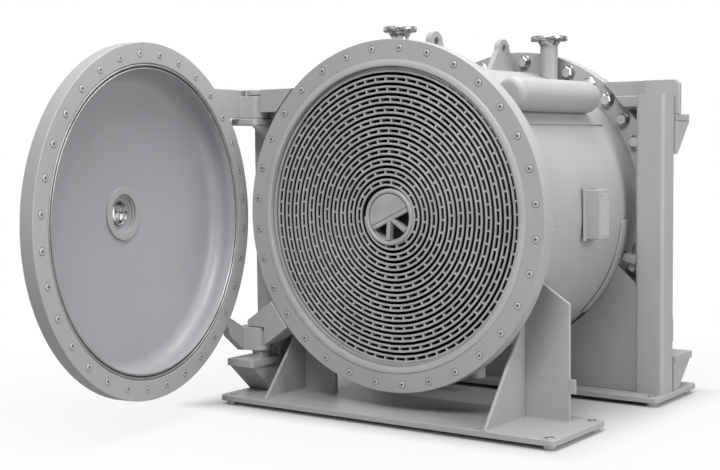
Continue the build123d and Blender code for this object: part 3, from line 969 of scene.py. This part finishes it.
def upper_shelf(name, turn, drop, gusset_start):
    """Shelf with cut corners and one wedge-shaped gusset under it."""
    left, right = shelf_low.x, shelf_high.x
    back, front = shelf_high.y, shelf_low.y
    foot = shelf_top - shelf_thickness
    shape = Shape()
    face = [(left, back), (left, front + shelf_cut), (left + shelf_cut, front)]
    face += [(right - shelf_cut, front), (right, front + shelf_cut), (right, back)]
    block(shape, face, foot, shelf_top, shelf_bevel)
    piece = shape.painted(f"{name}_shelf_plate", turn @ axis_level)
    wedge = Shape()
    nose = -front - gusset_nose
    face = [(-back, foot), (-back, foot - drop), (gusset_toe - back, foot - drop)]
    face += [(nose, foot - gusset_nose), (nose, foot)]
    block(wedge, face, -gusset_start - gusset_width, -gusset_start, plate_bevel)
    wedge.painted(f"{name}_shelf_gusset", turn @ side_view)
    return piece


def upper_shelves():
    inner_gusset = shelf_high.x - gusset_width - gusset_inset
    outer_gusset = shelf_low.x + gusset_inset
    front = upper_shelf("front_hinge", as_drawn, front_gusset_drop, inner_gusset)
    rear = upper_shelf("rear_hinge", turned, rear_gusset_drop, outer_gusset)
    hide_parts("left_upper_shelf")
    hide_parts("right_upper_shelf")


# Small fittings

def flange_lips():
    """Turned lip round the mouth of the drum."""
    top = ring_face + lip_height
    profile = [(bore_radius + lip_gap, ring_face - lip_wall)]
    profile += [(bore_radius + out, top - down) for out, down in lip_inner_edge]
    profile += [(lip_radius + out, top - down) for out, down in lip_outer_edge]
    profile += [(lip_radius + lip_foot, ring_face - raised_ring)]
    for name, place in ends:
        shape = Shape()
        lathe(shape, profile, 160)
        shape.piece(f"{name}_flange_lip", place, [lip_paint], "plain_steel")


def header_tubes():
    """Header on each side with rounded ends, as long as the photograph shows."""
    low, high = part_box("header_pipes")
    centre = (high.x - header_radius, high.z - header_radius - axis_height)
    start = -low.y
    end = start - header_length
    turn = header_radius - header_round
    profile = [(pole_radius, end)] + arc_points((turn, end + header_round), header_round, -90, 0, 9)
    profile += arc_points((turn, start - header_round), header_round, 0, 90, 9) + [(pole_radius, start)]
    part = Shape()
    lathe(part, profile, 64, 0, centre)
    shape = Shape()
    for place in (front_end, rear_end):
        shape.add_placed(part, place)
    piece = shape.painted("header_tubes", as_drawn)
    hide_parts("header_pipes")


def add_band_block(shape, size, z):
    """Block that stands on a wear band."""
    reach, height, width, bevel = size
    face = rectangle(band_face - band_sink, band_face + reach, -height, height)
    block(shape, face, z - width, z + width, bevel)


def band_clamps():
    """Clamps with a rounded tongue on the rear bands, thin tabs on the front ones."""
    part = Shape()
    z = -band_middle
    add_band_block(part, clamp_size, z - clamp_shift)
    middle = band_face + tongue_reach
    tongue = arc_points((middle, -tongue_drop), tongue_radius, 180, 360, 13)
    tongue += [(middle + tongue_radius, tongue_root), (middle - tongue_radius, tongue_root)]
    block(part, tongue, z - tongue_half_width, z + tongue_half_width, plate_bevel)
    add_band_block(part, tab_size, band_middle)
    shape = Shape()
    for end in (front_end, rear_end):
        shape.add_placed(part, end @ Matrix.Rotation(clamp_angle, 4, "Z"))
    piece = shape.painted("band_clamps", as_drawn)
    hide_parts("saddle_band_stops")


def rivet_pair():
    shape = Shape()
    dome = arc_points((0, -rivet_sink), rivet_radius, 0, rivet_top_degrees, 6)
    for shift in (-rivet_shift, rivet_shift):
        lathe(shape, dome, 16, 0, (shift, 0))
        shape.cap(circle(*dome[-1], 16, (shift, 0)))
    return shape


def band_fittings():
    """Two rivets and a clip on each wear band."""
    for name, end in (("right", front_end), ("left", rear_end)):
        for row, z in (("front", band_middle), ("rear", -band_middle)):
            clip = Shape()
            add_band_block(clip, clip_size, z)
            at = end @ Matrix.Rotation(clip_angle, 4, "Z")
            clip.piece(f"{name}_{row}_band_clip", at, [lip_paint], "grey_paint")
            outwards = Matrix.Translation((band_face, 0, z)) @ Matrix.Rotation(pi / 2, 4, "Y")
            at = end @ Matrix.Rotation(rivet_angle, 4, "Z") @ outwards
            rivet_pair().piece(f"{name}_{row}_band_rivets", at, [chrome_painted_reflections], "plain_steel")


def drain_fitting():
    """Cup on a thin bright chrome neck with a ring at its mouth; the floor of the cup's well is painted
    black as shade.
    """
    low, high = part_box("drain_nozzle")
    centre = ((low.x + high.x) / 2, (low.y + high.y) / 2)
    mouth = low.z
    rim = mouth + drain_cup_height
    radius = drain_cup_radius
    neck = drain_neck_radius
    well, inner, outer = (radius * share for share in drain_cup_shares)
    cup = [(well, mouth + drain_floor), (inner, mouth + drain_cup_foot), (outer, mouth + drain_cup_foot)]
    cup += [(radius, mouth + drain_cup_side), (radius, rim - drain_cup_round)]
    cup += [(radius - drain_cup_round, rim), (neck, rim)]
    ring_levels = (mouth, mouth, mouth + drain_ring_height, mouth + drain_ring_height)
    ring = [(radius * share, level) for share, level in zip(drain_ring_shares, ring_levels)]
    under, side, top = (rim + level for level in drain_collar_levels)
    collar = neck * drain_collar_share
    shape = Shape()
    lathe(shape, cup, 40, 0, centre)
    lathe(shape, ((well, mouth + drain_floor), (pole_radius, mouth + drain_floor)), 40, 2, centre)
    lathe(shape, ring, 40, 1, centre)
    lathe(shape, ((neck, under), (neck, high.z)), 28, 1, centre)
    lathe(shape, ((collar, under), (collar, side), (neck, top)), 28, 1, centre)
    piece = shape.piece("drain_cup", as_drawn, [paint, chrome_painted_reflections, painted_shade_black], "grey_paint")
    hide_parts("drain_nozzle")


def extent(points):
    """Lowest and highest places of points, across and then along."""
    xs = [point.x for point in points]
    ys = [point.y for point in points]
    return min(xs), max(xs), min(ys), max(ys)


def vent_flange_place(side):
    """Centre, radius and top of the flange of the vent on one side of the middle."""
    own = [v.co for v in nodes["vent_nozzles"].data.vertices if v.co.y * side > 0]
    top = max(point.z for point in own)
    left, right, front, back = extent([point for point in own if point.z > top - vent_rim])
    return ((left + right) / 2, (front + back) / 2), (right - left) / 2, top


def vent_collars():
    """Weld-neck collar under each vent's flange, its bolt holes drawn as discs painted black as shade, and
    the front one's bright pipe.
    """
    for name, side in (("front", -1), ("rear", 1)):
        centre, radius, top = vent_flange_place(side)
        pipe = vent_collar_bores[name]
        under = top - vent_flange
        collar = [(pipe + out, under - down) for out, down in vent_collar]
        shape = Shape()
        lathe(shape, collar[:3], 40, 0, centre)
        lathe(shape, collar[2:], 40, 0, centre)
        if name == "front":
            lathe(shape, ((pipe, under), (pipe, axis_height + shell_radius)), 40, 0, centre)
        for spot in on_circle(radius * vent_hole_share, vent_hole_count, pi / vent_hole_count, centre):
            shape.cap(circle(vent_hole_radius, top + skin, 16, spot), 1)
            shape.cap(circle(vent_hole_radius, under - skin, 16, spot), 1)
        shape.piece(f"{name}_vent_collar", as_drawn, [chrome_painted_reflections, painted_shade_black], "stainless")


def plate_outline(low, high):
    """Outline of a base plate with rounded corners."""
    left, right = low.x + plate_corner, high.x - plate_corner
    front, back = low.y + plate_corner, high.y - plate_corner
    face = []
    for i, centre in enumerate(((right, back), (left, back), (left, front), (right, front))):
        face += arc_points(centre, plate_corner, 90 * i, 90 * i + 90, 9)
    return face


def base_plates():
    """Base plates with softened edges, and a washer round each anchor hole; the hole is a disc painted
    black as shade.
    """
    for node in ("front_base_plate", "rear_base_plate"):
        low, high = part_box(node)
        shape = Shape()
        block(shape, plate_outline(low, high), low.z, high.z, plate_bevel)
        piece = shape.painted(f"{node}_slab", as_drawn)
        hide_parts(node)
        rim = [(anchor_hole + out, high.z + up) for out, up in anchor_rim]
        washers = Shape()
        for x in (low.x + anchor_inset, high.x - anchor_inset):
            for y in (low.y + anchor_inset, high.y - anchor_inset):
                lathe(washers, rim, 28, 0, (x, y))
                washers.cap(circle(anchor_hole, high.z + skin, 28, (x, y)), 1)
        washers.piece(f"{node}_washers", as_drawn, [plain_steel, painted_shade_black], "plain_steel")


def feet_of(node):
    """Rectangles where a solid stands on the base plates, left and right apart."""
    points = [vertex.co for vertex in nodes[node].data.vertices]
    standing = [point for point in points if abs(point.z - plate_top) < foot_tolerance]
    found = []
    for side in (-1, 1):
        foot = [point for point in standing if point.x * side > 0]
        if foot:
            found.append(rectangle(*extent(foot)))
    return found


def add_weld(shape, foot):
    """Rippled bead along the foot of a plate."""
    corners = [Vector(corner) for corner in foot]
    path = []
    for i, corner in enumerate(corners):
        following = corners[(i + 1) % 4]
        steps = max(2, int((following - corner).length / weld_step))
        path += [corner.lerp(following, j / steps) for j in range(steps)]
    rows = []
    for i, point in enumerate(path):
        ahead = (path[(i + 1) % len(path)] - path[i - 1]).normalized()
        size = weld_radius * (1 + weld_ripple * (-1) ** i)
        row = []
        for angle in weld_angles:
            out = size * cos(radians(angle))
            up = size * sin(radians(angle))
            row.append((point.x + ahead.y * out, point.y - ahead.x * out, plate_top + up))
        rows.append(row)
    shape.grid(rows, along=True)


def foot_welds():
    for node in ("front_saddle_webs", "front_saddle_gussets", "rear_saddle_webs", "rear_saddle_gussets"):
        shape = Shape()
        for foot in feet_of(node):
            add_weld(shape, foot)
        shape.piece(f"{node}_weld", as_drawn, [weld_metal], "grey_paint")


def holder_plate():
    """Thin backing plate, and a bare plate with four rivets on the holder's outer face."""
    low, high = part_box("plate_holder")
    shape = Shape()
    foot, top, bevel = backing_levels
    bottom_edge, top_edge = low.z - backing_margin, high.z + backing_margin
    face = rectangle(low.y - backing_front, high.y + backing_rear, bottom_edge, top_edge)
    block(shape, face, low.x + foot, low.x + top, bevel)
    foot, top, bevel = tag_levels
    tag = rectangle(low.y + tag_side, high.y - tag_side, low.z + tag_end, high.z - tag_end)
    block(shape, tag, high.x + foot, high.x + top, bevel, 1)
    rivet = [(radius, high.x + up) for radius, up in tag_rivet]
    for y in (low.y + tag_rivet_side, high.y - tag_rivet_side):
        for z in (low.z + tag_rivet_end, high.z - tag_rivet_end):
            lathe(shape, rivet, 12, 2, (y, z))
    shape.piece("holder_plates", right_view, [paint, lip_paint, chrome_painted_reflections], "grey_paint")


# CAD nodes

def dress(node, material, bevel):
    """Finish on a solid, with softened edges."""
    piece = nodes[node]
    piece.data.materials.clear()
    piece.data.materials.append(material)
    if not bevel:
        return
    for name in ("custom_normal", "sharp_edge", "sharp_face"):
        stored = piece.data.attributes.get(name)
        if stored:
            piece.data.attributes.remove(stored)
    weld = piece.modifiers.new("join_points", "WELD")
    weld.merge_threshold = merge_distance
    edge = piece.modifiers.new("soft_edges", "BEVEL")
    edge.width = bevel
    edge.segments = soft_segments
    edge.limit_method = "ANGLE"
    edge.angle_limit = radians(soft_edge_degrees)
    edge.use_clamp_overlap = True
    smooth = piece.modifiers.new("even_normals", "WEIGHTED_NORMAL")
    smooth.keep_sharp = False
    smooth.weight = normal_weight


def mark_faces(node, material, inside):
    """Second finish on the faces of a solid whose middle passes a test."""
    piece = nodes[node]
    piece.data.materials.append(material)
    number = len(piece.data.materials) - 1
    for face in piece.data.polygons:
        if inside(face.center):
            face.material_index = number


def dress_nodes():
    special = {
        "base_feet": (plain_steel, fine_bevel),
        "core_tube": (strip_metal, fine_bevel),
        "hinge_pins": (bright_steel, fine_bevel),
        "vent_nozzles": (paint, vent_bevel),
    }
    for body in ("front_cover", "rear_cover"):
        special[f"{body}_dish"] = (dish_paint, 0)
        special[f"{body}_flange"] = (cover_paint, cover_bevel)
        special[f"{body}_nozzle"] = (cover_paint, nozzle_bevel)
    for node in nodes:
        dress(node, *special.get(node, (paint, usual_bevel)))
    bright_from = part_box("vent_nozzles")[1].z - vent_bright_height
    mark_faces("vent_nozzles", chrome_painted_reflections, lambda middle: middle.z > bright_from)


# Stage

def floor_fade(tree):
    """Share of plain white on the floor: none beside the base, all of it far away."""
    coords = add_node(tree, "TexCoord")
    apart = add_node(tree, "SeparateXYZ")
    tree.links.new(coords.outputs["Object"], apart.inputs["Vector"])
    shares = []
    for axis, half in (("X", plate_high.x), ("Y", -plate_low.y)):
        share = combine(tree, "DIVIDE", apart.outputs[axis], half)
        shares.append(combine(tree, "ABSOLUTE", share))
    reach = combine(tree, "MAXIMUM", *shares)
    fades = []
    for near, far, gain in floor_fades:
        fade = add_node(tree, "MapRange", {"From Min": near, "From Max": far, "To Max": gain})
        fade.interpolation_type = "SMOOTHSTEP"
        tree.links.new(reach, fade.inputs["Value"])
        fades.append(fade.outputs["Result"])
    return combine(tree, "ADD", *fades)


def floor():
    """Pale floor that takes the object's shadow and fades to white for the camera."""
    mesh = bpy.data.meshes.new("floor")
    corners = rectangle(-floor_half, floor_half, -floor_half, floor_half)
    mesh.from_pydata([(x, y, 0) for x, y in corners], [], [(0, 1, 2, 3)])
    piece = add_object("floor", mesh)
    material, tree = new_material("pale_floor")
    shader = tree.nodes["Principled BSDF"]
    shader.inputs["Base Color"].default_value = floor_colour
    shader.inputs["Roughness"].default_value = floor_roughness
    glow = add_node(tree, "Emission", {"Strength": 1.0})
    rays = add_node(tree, "LightPath").outputs
    shown = combine(tree, "MULTIPLY", floor_fade(tree), rays["Is Camera Ray"])
    mix_into(tree, shown, shader.outputs["BSDF"], glow.outputs["Emission"], "Material Output")
    mesh.materials.append(material)


def world():
    """White for the camera and for reflections, a lower even light for the rest."""
    backdrop = bpy.data.worlds.new("studio")
    bpy.context.scene.world = backdrop
    backdrop.use_nodes = True
    tree = backdrop.node_tree
    light = tree.nodes["Background"]
    light.inputs["Color"].default_value = ambient_colour
    light.inputs["Strength"].default_value = ambient_strength
    white = add_node(tree, "Background", {"Color": (1, 1, 1, 1), "Strength": 1.0})
    rays = add_node(tree, "LightPath").outputs
    seen = combine(tree, "MAXIMUM", rays["Is Camera Ray"], rays["Is Glossy Ray"])
    shown = combine(tree, "MAXIMUM", seen, rays["Is Transmission Ray"])
    mix_into(tree, shown, light.outputs["Background"], white.outputs["Background"], "World Output")


def lights():
    for name, place, size, power in softboxes:
        light = bpy.data.lights.new(name, "AREA")
        light.shape = "RECTANGLE"
        light.size, light.size_y = size
        light.energy = power
        lamp = add_object(name, light)
        lamp.location = place
        ahead = Vector(light_target) - Vector(place)
        lamp.rotation_euler = ahead.to_track_quat("-Z", "Y").to_euler()


def camera():
    """The photograph's viewing angle."""
    level = Vector((cos(camera_heading), sin(camera_heading), 0))
    forward = Vector((-sin(camera_heading), cos(camera_heading), 0))
    ahead = forward * cos(camera_dip) - Vector((0, 0, sin(camera_dip)))
    up = level.cross(ahead)
    right = level * cos(camera_roll) + up * sin(camera_roll)
    top = up * cos(camera_roll) - level * sin(camera_roll)
    data = bpy.data.cameras.new("photo_camera")
    data.sensor_width = sensor_width
    data.lens = focal_pixels / image_width * sensor_width
    view = add_object("photo_camera", data)
    turn = Matrix((right, top, -ahead)).transposed().to_4x4()
    view.matrix_world = Matrix.Translation(camera_place) @ turn
    bpy.context.scene.camera = view


dress_nodes()
wound_channels()
hubs()
screws()
rear_bolts()
tie_cheeks()
rear_upper_bracket()
arm_collars()
upper_shelves()
flange_lips()
header_tubes()
band_clamps()
band_fittings()
drain_fitting()
vent_collars()
base_plates()
foot_welds()
holder_plate()
seal_rings()
nozzle_sleeves()
floor()
world()
lights()
camera()
bpy.context.scene.view_settings.view_transform = "Standard"
